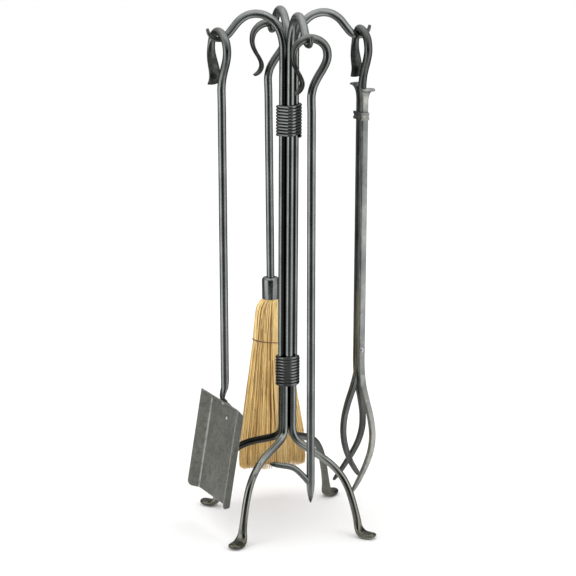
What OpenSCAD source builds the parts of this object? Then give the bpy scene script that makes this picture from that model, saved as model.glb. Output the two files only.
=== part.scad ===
// Fireplace tool set: a stand of four forged rods with a hook and a leg on
// each, and the shovel, poker, brush and tongs that hang from its hooks.
// Origin: on the floor, on the axis of the stand. +Z is up. Millimetres.
// The hooks point along +X, +Y, -X and -Y, and the legs along the diagonals.

/* [Stand] */
// Diameter of the round bar of the stand and of every tool
rod_d = 12.7; // [11:0.1:13.5]
// Distance from the stand's axis to the rod centres in the bundle
bundle_r = 9.15; // [9:0.05:10]
// Distance from the axis to the lowest point of each hook
hook_reach = 111; // [105:0.5:125]
// Height of the hook's centreline at its lowest point
hook_z = 769.2; // [740:0.2:800]
// Turn from hook to leg of the same rod, hidden in the lower binding
leg_turn = 45; // [30:1:60]

/* [Wire bindings] */
// Diameter of the binding wire
wire_d = 4.7; // [4:0.1:5.5]
// Height where the upper binding starts
upper_coil_z = 619; // [600:0.5:640]
// Turns of the upper binding
upper_turns = 10.25; // [8:0.25:12]
// Height where the lower binding starts
lower_coil_z = 226.3; // [215:0.1:240]
// Turns of the lower binding
lower_turns = 9.75; // [8:0.25:12]

/* [Tools] */
// Gap between a handle loop and its hook at rest
hang_gap = 0.5; // [0.3:0.05:1]
// Height of the poker's tip above the floor
poker_tip_z = 65.5; // [60:1:90]
// Height of the tongs' pivot above the floor
pivot_z = 277; // [265:1:290]
// Diameter of the tongs' pivot rivet
pivot_d = 5; // [4:0.1:5.5]
// Radial running clearance of the jaw on the rivet
pivot_clear = 0.08; // [0.03:0.01:0.1]

/* [Shovel pan] */
// Width of the flat floor
pan_w = 112; // [90:1:120]
// Length of the flat floor
pan_l = 147; // [120:1:150]
// How far the rim stands out from the floor
pan_rise = 17; // [12:0.5:20]
// How far the rim flares sideways
pan_flare = 12; // [8:0.5:15]
// Thickness of the sheet
sheet_t = 1.6; // [1.2:0.1:2]

/* [Brush] */
// Outer diameter of the ferrule
ferrule_d = 28; // [27:0.5:29]
// Height of the straw's lower end above the floor
straw_z = 53; // [46:1:60]

/* [Hidden] */
$fn = 48;
rod_r = rod_d / 2;
iron = "dimgray";
pewter = "slategray";
// Loop top centreline above the hook's centreline: hook radius, gap, bar radius
hook_r = 4.1;
hang_z = hook_z + hook_r + hang_gap + rod_r;

// ---- curves ---------------------------------------------------------------
function unit(v) = v / norm(v);
function sgn(x) = x < 0 ? -1 : 1;
// A smooth curve through stations; each station may carry radii as well
function cr(a, b, c, d, t) = 0.5 * (2 * b + (c - a) * t + (2 * a - 5 * b + 4 * c - d) * t * t + (3 * b - a - 3 * c + d) * t * t * t);
function smooth(P, n) = [for (i = [0:len(P) - 2]) for (j = [0:n - 1])
    cr(P[max(i - 1, 0)], P[i], P[i + 1], P[min(i + 2, len(P) - 1)], j / n), P[len(P) - 1]];
function reverse(P) = [for (i = [len(P) - 1:-1:0]) P[i]];

// One ring of a forged bar: half thickness a in the plane of the bend, half
// width b along side; e = 2 is round, larger e is a squarer bar.
function ring(p, t, side, a, b, e, n, floor_z) =
    let (u = unit(side - (side * t) * t), v = cross(t, u))
    [for (k = [0:n - 1]) let (q = 360 * (k + 0.5) / n, c = cos(q), d = sin(q),
        x = p + a * sgn(c) * pow(abs(c), 2 / e) * v + b * sgn(d) * pow(abs(d), 2 / e) * u)
        [x[0], x[1], max(x[2], floor_z)]];

// Sweep: each station is [x, y, z, side_x, side_y, side_z, a, b, e]
module sweep(S, n = 12, floor_z = -1e6) {
    m = len(S);
    pos = [for (s = S) [s[0], s[1], s[2]]];
    pts = [for (i = [0:m - 1]) each ring(pos[i], unit(pos[min(i + 1, m - 1)] - pos[max(i - 1, 0)]),
        [S[i][3], S[i][4], S[i][5]], S[i][6], S[i][7], S[i][8], n, floor_z)];
    polyhedron(points = pts, faces = concat(
        [for (i = [0:m - 2]) for (k = [0:n - 1]) let (a = i * n + k, b = i * n + (k + 1) % n)
            each [[a, b, b + n], [a, b + n, a + n]]],
        [[for (k = [n - 1:-1:0]) k]],
        [[for (k = [0:n - 1]) (m - 1) * n + k]]), convexity = 8);
}

// ---- stand ------------------------------------------------------------------
// Arm and hook of a rod, from the bundle to the tip: [radius, height, bar radius]
arm = [[bundle_r, 720, rod_r], [bundle_r, 745, rod_r], [9.9, 760, rod_r], [12.6, 773, rod_r], [18, 785.5, rod_r],
    [26.5, 795.8, rod_r], [38, 803.3, rod_r], [52.5, 806.2, rod_r], [66.5, 803.6, rod_r],
    [78.5, 795.8, rod_r], [88, 784.8, rod_r * 0.99], [95.8, 775.7, rod_r * 0.96], [103, 770.8, 5.5],
    [hook_reach, hook_z, hook_r], [117.2, 770.9, 3.7], [122.1, 774.5, 3.2], [125.3, 779.7, 2.8], [126.8, 785.2, 2.3]];
// Leg and foot: [radius, height, half thickness, half width, squareness]. Each
// leg is bent by hand, so its arch stands a little higher or lower (lift) and
// the leg points a little off the diagonal (skew).
function leg(lift) = [for (s = leg_base) [s[0] + 0.25 * lift * s[5], s[1] + lift * s[5], s[2], s[3], s[4]]];
leg_base = [[bundle_r, 168, rod_r, rod_r, 2, 0], [bundle_r + 0.3, 154, rod_r, rod_r, 2, 0.1], [12.3, 143.5, 6.2, 6.3, 2, 0.25], [20, 134.8, 6.1, 6.2, 2, 0.5],
    [33, 128, 6, 6.1, 2, 0.7], [50, 121.3, 5.9, 6, 2, 0.85], [67.5, 114, 5.8, 5.9, 2, 0.95], [84, 105, 5.8, 5.8, 2, 1],
    [98.5, 92.8, 5.7, 5.8, 2, 1], [110, 77, 5.7, 5.8, 2, 0.9], [118.3, 58.5, 5.7, 5.8, 2, 0.7], [124.8, 39.5, 5.8, 5.9, 2, 0.4],
    [129, 24.5, 5.9, 6.6, 2.1, 0.15], [131, 15.5, 5.6, 8, 2.3, 0], [134.4, 8.6, 5, 9.8, 2.6, 0], [140.3, 4.4, 4.7, 10.8, 2.9, 0],
    [148.5, 3.9, 4.3, 11, 3, 0], [154, 4.3, 4, 10.2, 2.8, 0], [158, 5.2, 3.6, 8.4, 2.4, 0], [160.4, 6.2, 2.4, 5.6, 2, 0]];
function at(r, phi, z, a, b, e) = [r * cos(phi), r * sin(phi), z, -sin(phi), cos(phi), 0, a, b, e];
function eased(t) = t < 0 ? 0 : t > 1 ? 1 : t * t * (3 - 2 * t);
lower_top = lower_coil_z + lower_turns * (wire_d + 0.05) + wire_d / 2;
function turn_at(z) = leg_turn * eased((lower_top - z) / (lower_top - lower_coil_z + wire_d / 2));
function rod_stations(phi, lift, skew) = concat(
    [for (s = reverse(smooth(arm, 2))) at(s[0], phi, s[1], s[2], s[2], 2)],
    [for (i = [0:7]) let (z = lower_top + 4 - i * (lower_top - lower_coil_z + 10) / 7)
        at(bundle_r, phi + turn_at(z), z, rod_r, rod_r, 2)],
    [for (s = smooth(leg(lift), 2)) at(s[0], phi + leg_turn + skew * eased((s[0] - bundle_r - 2) / 60), s[1], s[2], s[3], s[4])]);
module stand_rod(phi, lift, skew) color(iron) sweep(rod_stations(phi, lift, skew), 12, 0);
module stand_rod_left() stand_rod(180, 8, -1.4);
module stand_rod_right() stand_rod(0, 6, 0.4);
module stand_rod_front() stand_rod(270, 1, -1.6);
module stand_rod_rear() stand_rod(90, 6, -0.4);

// Wire wound tightly round the four rods: a rounded square path that climbs
arc_pts = 5;
function wrap_at(i, z0, pitch) =
    let (per = 4 * arc_pts, k = floor(i / arc_pts) % 4, j = i % arc_pts,
        al = 90 * k - 45 + 90 * j / (arc_pts - 1), rr = rod_r + wire_d / 2 - 0.02)
    [bundle_r * cos(90 * k) + rr * cos(al), bundle_r * sin(90 * k) + rr * sin(al), z0 + i / per * pitch, 0, 0, 1, wire_d / 2, wire_d / 2, 2];
module upper_coil_wrap() color(iron)
    sweep([for (i = [0:round(upper_turns * 4 * arc_pts)]) wrap_at(i, upper_coil_z, wire_d + 0.05)], 8);
// The lower wire lies over the turn of the rods, so its rings come out round;
// it is drawn down hard and beds a little into the rods.
bedding = 1.1;
module lower_coil_wrap() color(iron)
    sweep([for (i = [0:round(lower_turns * 20)]) let (al = 60 + 18 * i, rr = bundle_r + rod_r + wire_d / 2 - bedding)
        [rr * cos(al), rr * sin(al), lower_coil_z + i / 20 * (wire_d + 0.05), 0, 0, 1, wire_d / 2, wire_d / 2, 2]], 8);

// ---- handle shared by the four tools -----------------------------------------
// A tool's own frame: origin at the top of its loop, X across the loop, Y out
// of the loop's plane, Z up. Stations: [x, y, z, half along x, half along y, squareness]
module tool_sweep(S, n = 12) sweep([for (s = S) [s[0], s[1], s[2], 0, 1, 0, s[3], s[4], s[5]]], n);
// Where the shaft stands in that frame
shaft_x = 4;
shaft_y = 3.5;
// The loop, from the shaft over the top to the flared lip. The seventh number
// is the share of a hand-bent shift of the shaft, the eighth of the tail,
// which a tool may have drawn less wide (w).
grip = [[4, 3.5, -110, rod_r, rod_r, 2, 1, 0], [3.6, 3.5, -96, rod_r, rod_r, 2, 1, 0], [3.8, 3.5, -84, rod_r, rod_r, 2, 1, 0], [6.8, 3.4, -71, rod_r, rod_r, 2, 0.9, 0],
    [13.4, 3.1, -57.5, rod_r, rod_r, 2, 0.6, 0], [20.7, 2.6, -45.5, rod_r, rod_r, 2, 0.3, 0], [26, 2, -34.2, rod_r, rod_r, 2, 0.1, 0],
    [27.2, 1.4, -24, rod_r, rod_r, 2, 0, 0], [24, 0.9, -12.8, rod_r, rod_r, 2, 0, 0], [14.2, 0.4, -3.8, rod_r, rod_r, 2, 0, 0],
    [0, 0, 0, rod_r, rod_r, 2, 0, 0], [-14, -0.3, -3.6, 6, 6.1, 2, 0, 0], [-23.8, -0.6, -13, 5.1, 5.9, 2, 0, 0],
    [-27.3, -0.9, -24.5, 4.1, 6.2, 2, 0, 0], [-26.3, -1.2, -35.2, 3.4, 7.2, 2.1, 0, 0.2], [-22, -1.4, -45.2, 2.9, 8.4, 2.2, 0, 0.4],
    [-16.6, -1.5, -54.4, 2.8, 9, 2.3, 0, 0.6], [-13.3, -1.5, -62.4, 3, 9.2, 2.3, 0, 0.8], [-13.2, -1.5, -69, 3.1, 9, 2.3, 0, 1],
    [-16.2, -1.5, -75, 2.9, 8.8, 2.4, 0, 1], [-20.6, -1.5, -79, 2.4, 8.4, 2.4, 0, 1], [-25, -1.5, -81, 1.6, 7.4, 2.2, 0, 1]];
function handle(dx = 0, dy = 0, tail = 0, k = 1, w = 1) = smooth([for (g = grip) [g[0] * (g[0] < 0 ? k : 1) + dx * g[6], g[1] + dy * g[6],
    g[2] + tail * g[7], g[3], g[4] * (1 - (1 - w) * g[7]), g[5]]], 2);

// Each tool hangs at its hook, turned about the vertical and leaning a little
module place(origin, spin, lean) translate(origin) rotate([0, lean, 0]) rotate([0, 0, spin]) children();
module poker_place() place([1.2, -hook_reach, hang_z + 0.1], 0, -0.3) children();
module brush_place() place([-3.5, hook_reach, hang_z + 0.4], 0, -0.85) children();
module shovel_place() place([-hook_reach + 1, 0, hang_z + 0.6], -78.6, -0.55) children();
module tongs_place() place([hook_reach + 0.3, 0, hang_z], -82, 0) children();

// ---- poker ----------------------------------------------------------------------
tip = poker_tip_z - hang_z;
module poker_shaft() color(pewter) poker_place()
    tool_sweep(concat([[4, 3.5, tip, 0.6, 0.6, 2], [4, 3.5, tip + 2.5, 1.9, 1.9, 2], [4, 3.5, tip + 9, 3.8, 3.8, 2],
        [4, 3.5, tip + 19, 5.7, 5.7, 2], [4, 3.5, tip + 28, rod_r, rod_r, 2]], handle(k = 0.93)));
// Barb: welded to the shaft, sweeping up and then level: [x, height above the floor, radius]
barb = [[3, 97, 5.2], [-2, 102.5, 5], [-8, 109.5, 4.7], [-14.5, 116.5, 4.6], [-21, 122.2, 4.6],
    [-29, 126, 4.6], [-38, 128.2, 4.5], [-47, 130.2, 4.2], [-55, 132.2, 3.4], [-60.5, 133.6, 1.6]];
module poker_barb() color(pewter) poker_place()
    tool_sweep([for (s = smooth(barb, 2)) [s[0], shaft_y, s[1] - hang_z, s[2], s[2], 2]]);

// ---- shovel ---------------------------------------------------------------------
// The pan's own frame: origin in the middle of the fold between the floor and
// the back rim, X across, Y out of the hollow side, Z up along the floor
pan_tilt = 10;
pan_y = 8.8;
pan_z = 194 - hang_z;
module pan_place() shovel_place() translate([0, pan_y, pan_z]) rotate([-pan_tilt, 0, 0]) rotate([0, 0, 180]) children();
rim = sqrt(pan_rise * pan_rise + pan_flare * pan_flare);
rim_angle = atan2(pan_rise, pan_flare);
corner = 9;
module plate(pts) linear_extrude(height = sheet_t, center = true) polygon(pts);
// Side rim in its own plane: [along the floor, out from the fold]
side_pts = concat([[0, -0.3], [pan_l, -0.3]],
    [for (a = [0:15:90]) [pan_l - corner + corner * cos(a), rim - corner + corner * sin(a)]],
    [[-pan_flare, rim]]);
module side_rim() translate([pan_w / 2, 0, 0]) rotate([0, 0, rim_angle - 90]) rotate([0, 90, 0]) plate(side_pts);
module shovel_pan() color("gray") difference() {
    pan_place() union() {
        rotate([90, 0, 0]) plate([[-pan_w / 2, 0.3], [pan_w / 2, 0.3], [pan_w / 2, -pan_l], [-pan_w / 2, -pan_l]]);
        side_rim();
        mirror([1, 0, 0]) side_rim();
        rotate([90 - rim_angle, 0, 0])
            plate([[-pan_w / 2, -0.3], [pan_w / 2, -0.3], [pan_w / 2 + pan_flare, rim], [-pan_w / 2 - pan_flare, rim]]);
    }
    rivet_seats() cylinder(r = rivet_r, h = 30, center = true);
}
// Tongue: the shaft's flattened end, bent to lie behind the floor and the back rim
tongue_t = 2;
rivet_r = 2.2;
behind = sheet_t / 2 + tongue_t + 0.15;
// Points behind the sheet in the pan frame, as [out, up]
function behind_rim(d) = [d * sin(rim_angle) - behind * cos(rim_angle), d * cos(rim_angle) + behind * sin(rim_angle)];
function behind_floor(d) = [-behind, -d];
function tongue_st(p, a, b) = [3, pan_y - p[0] * cos(pan_tilt) + p[1] * sin(pan_tilt), pan_z + p[0] * sin(pan_tilt) + p[1] * cos(pan_tilt), a, b, 3];
rim_top = tongue_st(behind_rim(17.5), 7.6, tongue_t);
module shovel_shaft() color(pewter) difference() {
    shovel_place() tool_sweep(concat(
        [tongue_st(behind_floor(28), 4.5, 1.4), tongue_st(behind_floor(26), 7, tongue_t), tongue_st(behind_floor(20), 8, tongue_t),
         tongue_st(behind_floor(8), 8, tongue_t), tongue_st(behind_floor(-0.4), 8, tongue_t), tongue_st(behind_rim(2), 8, tongue_t),
         tongue_st(behind_rim(9), 8, tongue_t), rim_top],
        [[3.1, rim_top[1] - 0.6, rim_top[2] + 4.5, 7.3, 2.6, 2.6], [3.4, rim_top[1] + 0.6, rim_top[2] + 11, 6.9, 3.9, 2.3], [3.8, shaft_y - 1.5, rim_top[2] + 19, 6.5, 5.5, 2],
         [4, shaft_y - 1, rim_top[2] + 29, rod_r, rod_r, 2]], handle(0, -1, 0, 0.9)));
    rivet_seats() cylinder(r = rivet_r, h = 30, center = true);
}
// Rivet axes, pointing out of the hollow side: one through the floor, one through the back rim
module rivet_seats() {
    pan_place() translate([-3, 0, -17]) rotate([-90, 0, 0]) children();
    pan_place() translate([-3, 12.5 * sin(rim_angle), 12.5 * cos(rim_angle)]) rotate([-90 - rim_angle, 0, 0]) children();
}
back_z = sheet_t / 2 + 2 * tongue_t + 0.3;
module rivet() {
    translate([0, 0, -back_z - 0.5]) cylinder(r = rivet_r, h = back_z + sheet_t / 2 + 0.9);
    translate([0, 0, -back_z - 1.3]) cylinder(r = 3.6, h = 1.3);
    intersection() {
        translate([0, 0, sheet_t / 2 + 1.9 - 4.1]) sphere(r = 4.1);
        translate([0, 0, sheet_t / 2]) cylinder(r = 6, h = 5);
    }
}
module shovel_rivets() color("silver") rivet_seats() rivet();

// ---- brush ----------------------------------------------------------------------
ferrule_top = 372.5 - hang_z;
ferrule_h = 35;
brush_x = -1;
module brush_axis() brush_place() translate([brush_x, shaft_y, ferrule_top]) children();
// The shaft ends in a turned tenon that fits the ferrule
tenon_r = rod_r + 0.4;
module brush_shaft() color(pewter) {
    brush_place() tool_sweep(concat([[brush_x, 3.5, ferrule_top + 3, rod_r, rod_r, 2]], handle(brush_x - shaft_x)));
    brush_axis() translate([0, 0, -13]) cylinder(r = tenon_r, h = 19);
}
// Ferrule: a pressed cup with a rounded shoulder
module brush_ferrule() color(iron) brush_axis() difference() {
    rotate_extrude() polygon(concat([[0, 0], [9, 0]],
        [for (a = [75:-15:0]) [ferrule_d / 2 - 5 + 5 * cos(a), -5 + 5 * sin(a)]],
        [[ferrule_d / 2, -ferrule_h], [ferrule_d / 2 - 1.2, -ferrule_h], [ferrule_d / 2 - 1.2, -8.5], [ferrule_d / 2 - 5, -6], [0, -6]]));
    translate([0, 0, -20]) cylinder(r = tenon_r, h = 40);
}
neck_r = ferrule_d / 2 - 1.35;
// Wire that binds the straw, inside the ferrule
module brush_binding_wire() color("silver") brush_axis()
    for (i = [0:2]) translate([0, 0, -17 - 2 * i]) rotate_extrude() translate([neck_r - 1.05, 0]) circle(r = 0.9);
// Straw: round in the ferrule, fanned out flat below: [height, across, half width, half depth, squareness]
straw = [[-10, 0, neck_r - 0.2, neck_r - 0.2, 2], [-14, 0, neck_r - 0.2, neck_r - 0.2, 2], [-15.5, 0, neck_r - 2.1, neck_r - 2.1, 2],
    [-22.5, 0, neck_r - 2.1, neck_r - 2.1, 2], [-24, 0, neck_r - 0.2, neck_r - 0.2, 2], [-35.4, 0, neck_r - 0.2, neck_r - 0.2, 2],
    [-38, -0.3, 19.5, 14.5, 2.2], [-46, -0.5, 23.3, 15.2, 2.2], [-60, -0.8, 25.2, 15.6, 2.3], [-75, -1, 26.4, 15.5, 2.4], [-95, -1.4, 28.4, 15, 2.4],
    [-106, -1.5, 29.2, 14.4, 2.4], [-132, -1.5, 33, 15, 2.4], [-168, -1, 38.6, 16.5, 2.5], [-202, -0.8, 44, 18, 2.5], [-244, -0.5, 50.3, 19.5, 2.5],
    [-270, -0.5, 54, 20.5, 2.5], [-300, -0.8, 56, 21, 2.5]];
module brush_bristles() color("goldenrod") brush_axis() difference() {
    tool_sweep([for (s = concat(straw, [[straw_z - 372.5, -0.8, 55, 20.5, 2.5]])) [s[1], 0, s[0], s[2], s[3], s[4]]], 24);
    translate([0, 0, -13]) cylinder(r = tenon_r, h = 12);
}
// One row of twine round the fan
module brush_stitching() color("wheat") brush_axis()
    sweep([for (i = [0:24]) let (q = 15 * i, c = cos(q), d = sin(q))
        [-1.5 + 30.2 * sgn(c) * pow(abs(c), 2 / 2.4), 15.5 * sgn(d) * pow(abs(d), 2 / 2.4), -106 - 4.6 * c, 0, 0, 1, 1, 1.1, 2]], 8);

// ---- tongs ----------------------------------------------------------------------
// Bars stack across the loop's own plane: arm, centre bar, arm
arm_t = 3;
arm_w = 5.7;
core_t = 5;
core_w = 5.3;
arm_off = core_t + arm_t + 0.3;
pz = pivot_z - hang_z;
function low(z) = z - hang_z;
// Single prong below the pivot: [y off the shaft, height above the floor, half along x, half along y, squareness]
core = [[3.6, 67, 1.2, 1.5, 2], [2.2, 69, 2.7, 2.9, 2.2], [-0.9, 73.5, 3.6, 3.8, 2.8], [-6, 81.5, 3.9, 4.1, 3.2], [-12.5, 93.5, 4, 4.3, 3.4],
    [-20.8, 115, 4.1, 4.6, 3.6], [-25.2, 140, 4.2, 4.7, 3.6], [-24, 165, 4.3, 4.8, 3.6], [-18, 190, 4.4, 5, 3.6], [-10, 213, 4.6, 5.1, 3.8],
    [-3.4, 236, 4.9, 5.2, 4], [-0.4, 254, core_t, core_w, 4]];
module pivot_bore(r) tongs_place() translate([shaft_x, shaft_y, pz]) rotate([0, 90, 0]) cylinder(r = r, h = 60, center = true);
module tongs_centre_bar() color(pewter) difference() {
    tongs_place() tool_sweep(concat(
        [for (s = smooth(core, 2)) [shaft_x, shaft_y + s[0], low(s[1]), s[2], s[3], s[4]]],
        [[4, 3.5, low(672), core_t, core_w, 4], [4, 3.5, low(677.5), 5.2, 5.6, 2.8]],
        [for (h = handle(0, 0, 7, 0.56, 0.95)) if (h[2] > -97) h]));
    pivot_bore(pivot_d / 2);
}
module tongs_pivot_rivet() color("silver") tongs_place() translate([shaft_x, shaft_y, pz]) rotate([0, 90, 0]) {
    cylinder(r = pivot_d / 2, h = 2 * (arm_off + arm_t + 1), center = true);
    for (s = [-1, 1]) mirror([0, 0, s < 0 ? 1 : 0]) intersection() {
        translate([0, 0, arm_off + arm_t + 0.15 + 2.2 - 5.6]) sphere(r = 5.6);
        translate([0, 0, arm_off + arm_t + 0.15]) cylinder(r = 6, h = 5);
    }
}
// Outer arm: from the fishtail lip down to the pair's prong:
// [x off the centre bar, y off the shaft, height above the floor, half along x, half along y, squareness]
arm_low = [[34.6, -26.2, 52, 1.2, 1.5, 2], [34.2, -24.4, 54.2, 2.4, 2.6, 2.2], [33.1, -18.4, 62, 2.9, 3.6, 2.8], [31, -8.6, 76.4, 3.2, 4.2, 3.2],
    [27.6, 3.6, 97, 3.3, 4.7, 3.6], [23.8, 12.2, 117, 3.3, 5, 3.8], [19.4, 16.4, 140, 3.3, 5.1, 4], [14.6, 14.8, 166, 3.2, 5.2, 4],
    [11, 9.4, 192, 3.1, 5.3, 4], [9, 4, 216, arm_t, 5.5, 4], [8.4, 0.9, 240, arm_t, arm_w, 4], [arm_off, 0, 258, arm_t, arm_w, 4]];
arm_top = [[arm_off, 0, 665.5, arm_t, arm_w, 4], [arm_off + 0.2, 0, 673.5, arm_t, arm_w, 4], [arm_off + 1.5, 0, 681.5, 2.8, 6.5, 3.6], [arm_off + 4.6, 0, 688.3, 2.7, 8.3, 3.2],
    [arm_off + 9.4, 0, 691.8, 2.5, 10.2, 3], [arm_off + 14.2, 0, 691.9, 2.2, 10.8, 2.8], [arm_off + 17, 0, 690.4, 1.3, 9.4, 2.4]];
// The front arm stands a little lower than the back one at its lip
module tongs_arm(s) color(s > 0 ? "lightslategray" : iron) difference() {
    tongs_place() tool_sweep([for (p = concat(smooth(arm_low, 2), smooth(arm_top, 2)))
        [shaft_x + s * p[0], shaft_y + p[1], low(p[2] - 2.4 * s * eased((p[2] - 664) / 20)), p[3], p[4], p[5]]]);
    pivot_bore(pivot_d / 2 + pivot_clear);
}
module tongs_front_arm() tongs_arm(1);
module tongs_back_arm() tongs_arm(-1);
// Collar: ties the two arms together behind the centre bar, open in front of it
collar_z = 641.6;
collar_h = 11.8;
module collar_band(z, h, t) {
    x = arm_off + arm_t - 0.1;
    for (s = [-1, 1]) translate([s > 0 ? x : -x - t, -arm_w - t, z]) cube([t, 2 * arm_w + t, h]);
    translate([-x - t, -arm_w - t, z]) cube([2 * (x + t), t, h]);
}
module tongs_collar() color(iron) tongs_place() translate([shaft_x, shaft_y, 0]) {
    collar_band(low(collar_z), collar_h, 2.2);
    collar_band(low(collar_z), 4, 3);
    collar_band(low(collar_z) + collar_h - 4, 4, 3);
}

stand_rod_left();
stand_rod_right();
stand_rod_front();
stand_rod_rear();
upper_coil_wrap();
lower_coil_wrap();
poker_shaft();
poker_barb();
shovel_shaft();
shovel_pan();
shovel_rivets();
brush_shaft();
brush_ferrule();
brush_binding_wire();
brush_bristles();
brush_stitching();
tongs_centre_bar();
tongs_pivot_rivet();
tongs_front_arm();
tongs_back_arm();
tongs_collar();
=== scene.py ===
# Looks of the fireplace tool set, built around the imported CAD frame.
import math
import random

import bmesh
import bpy
import numpy as np
from mathutils import Matrix, Vector, noise


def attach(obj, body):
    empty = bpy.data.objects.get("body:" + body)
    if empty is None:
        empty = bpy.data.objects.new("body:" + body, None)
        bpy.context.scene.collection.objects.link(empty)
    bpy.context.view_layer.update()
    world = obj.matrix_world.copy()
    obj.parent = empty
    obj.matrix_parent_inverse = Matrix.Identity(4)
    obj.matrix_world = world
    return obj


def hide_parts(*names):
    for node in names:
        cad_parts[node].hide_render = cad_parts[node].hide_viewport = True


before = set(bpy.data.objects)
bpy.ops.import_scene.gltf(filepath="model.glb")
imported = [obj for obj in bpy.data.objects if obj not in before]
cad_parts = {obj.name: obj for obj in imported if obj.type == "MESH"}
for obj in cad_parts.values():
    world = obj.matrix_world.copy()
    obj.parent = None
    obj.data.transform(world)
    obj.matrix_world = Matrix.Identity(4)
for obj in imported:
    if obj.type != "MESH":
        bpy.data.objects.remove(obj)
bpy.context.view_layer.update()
MM = 0.001

# ---------------------------------------------------------------- camera
CAM_AZ, CAM_PITCH, CAM_ROLL = math.radians(-14.995), math.radians(13.311), math.radians(0.308)
CAM_D, CAM_Z, CAM_F = 3.10898, 1.11632, 2057.47
cam_data = bpy.data.cameras.new("camera")
cam = bpy.data.objects.new("camera", cam_data)
bpy.context.scene.collection.objects.link(cam)
cam_data.sensor_width = 36.0
cam_data.lens = CAM_F * 36.0 / 576.0
cam_data.clip_start, cam_data.clip_end = 0.1, 200.0
fwd = Vector((-math.sin(CAM_AZ) * math.cos(CAM_PITCH), math.cos(CAM_AZ) * math.cos(CAM_PITCH), -math.sin(CAM_PITCH)))
rgt = Vector((math.cos(CAM_AZ), math.sin(CAM_AZ), 0.0))
upv = rgt.cross(fwd)
r2 = rgt * math.cos(CAM_ROLL) + upv * math.sin(CAM_ROLL)
u2 = upv * math.cos(CAM_ROLL) - rgt * math.sin(CAM_ROLL)
rot = Matrix((r2, u2, -fwd)).transposed()
cam.matrix_world = Matrix.Translation((CAM_D * math.sin(CAM_AZ), -CAM_D * math.cos(CAM_AZ), CAM_Z)) @ rot.to_4x4()
bpy.context.scene.camera = cam

# ---------------------------------------------------------------- sweeps
ROD = 6.35


def cr(a, b, c, d, t):
    return 0.5 * (2 * b + (c - a) * t + (2 * a - 5 * b + 4 * c - d) * t * t + (3 * b - a - 3 * c + d) * t ** 3)


def smooth(P, n):
    P = np.array(P, float)
    out = []
    for i in range(len(P) - 1):
        for j in range(n):
            out.append(cr(P[max(i - 1, 0)], P[i], P[i + 1], P[min(i + 2, len(P) - 1)], j / n))
    out.append(P[-1])
    return np.array(out)


def refine(S, step):
    """Adds stations so that none is more than step apart."""
    out = [S[0]]
    for a, b in zip(S[:-1], S[1:]):
        k = max(1, int(math.ceil(np.linalg.norm(b[:3] - a[:3]) / step)))
        for j in range(1, k + 1):
            out.append(a + (b - a) * j / k)
    return np.array(out)


def place(origin, spin, lean):
    return Matrix.Translation(origin) @ Matrix.Rotation(math.radians(lean), 4, "Y") @ Matrix.Rotation(math.radians(spin), 4, "Z")


def tool(S):
    """Stations [x, y, z, a, b, e] of a tool's own frame as sweep stations."""
    S = np.array(S, float)
    side = np.tile([0.0, 1.0, 0.0], (len(S), 1))
    return np.hstack([S[:, :3], side, S[:, 3:6]])


def rings(S, n, floor_z=None):
    """One ring of n points for each station [x, y, z, side, a, b, e]."""
    p, side = S[:, :3], S[:, 3:6]
    m = len(S)
    t = p[np.minimum(np.arange(m) + 1, m - 1)] - p[np.maximum(np.arange(m) - 1, 0)]
    t /= np.linalg.norm(t, axis=1)[:, None]
    u = side - (side * t).sum(1)[:, None] * t
    u /= np.linalg.norm(u, axis=1)[:, None]
    v = np.cross(t, u)
    q = 2 * np.pi * (np.arange(n) + 0.5) / n
    c, d = np.cos(q), np.sin(q)
    e = (2 / S[:, 8])[:, None]
    x = np.sign(c) * np.abs(c)[None, :] ** e * S[:, 6][:, None]
    y = np.sign(d) * np.abs(d)[None, :] ** e * S[:, 7][:, None]
    R = p[:, None, :] + x[..., None] * v[:, None, :] + y[..., None] * u[:, None, :]
    if floor_z is not None:
        R[..., 2] = np.maximum(R[..., 2], floor_z)
    return R


def new_mesh(name, verts, faces, solid=True):
    me = bpy.data.meshes.new(name)
    me.from_pydata([tuple(v) for v in verts], [], faces)
    me.validate()
    smooth_shade = solid
    if solid:
        bm = bmesh.new()
        bm.from_mesh(me)
        bmesh.ops.recalc_face_normals(bm, faces=bm.faces[:])
        bm.to_mesh(me)
        bm.free()
    me.update()
    if smooth_shade:
        me.polygons.foreach_set("use_smooth", [True] * len(me.polygons))
    ob = bpy.data.objects.new(name, me)
    bpy.context.scene.collection.objects.link(ob)
    return ob


def tube_faces(m, n, base=0):
    F = []
    for i in range(m - 1):
        a = base + i * n
        for k in range(n):
            k1 = (k + 1) % n
            F.append((a + k, a + k1, a + n + k1, a + n + k))
    return F


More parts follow.
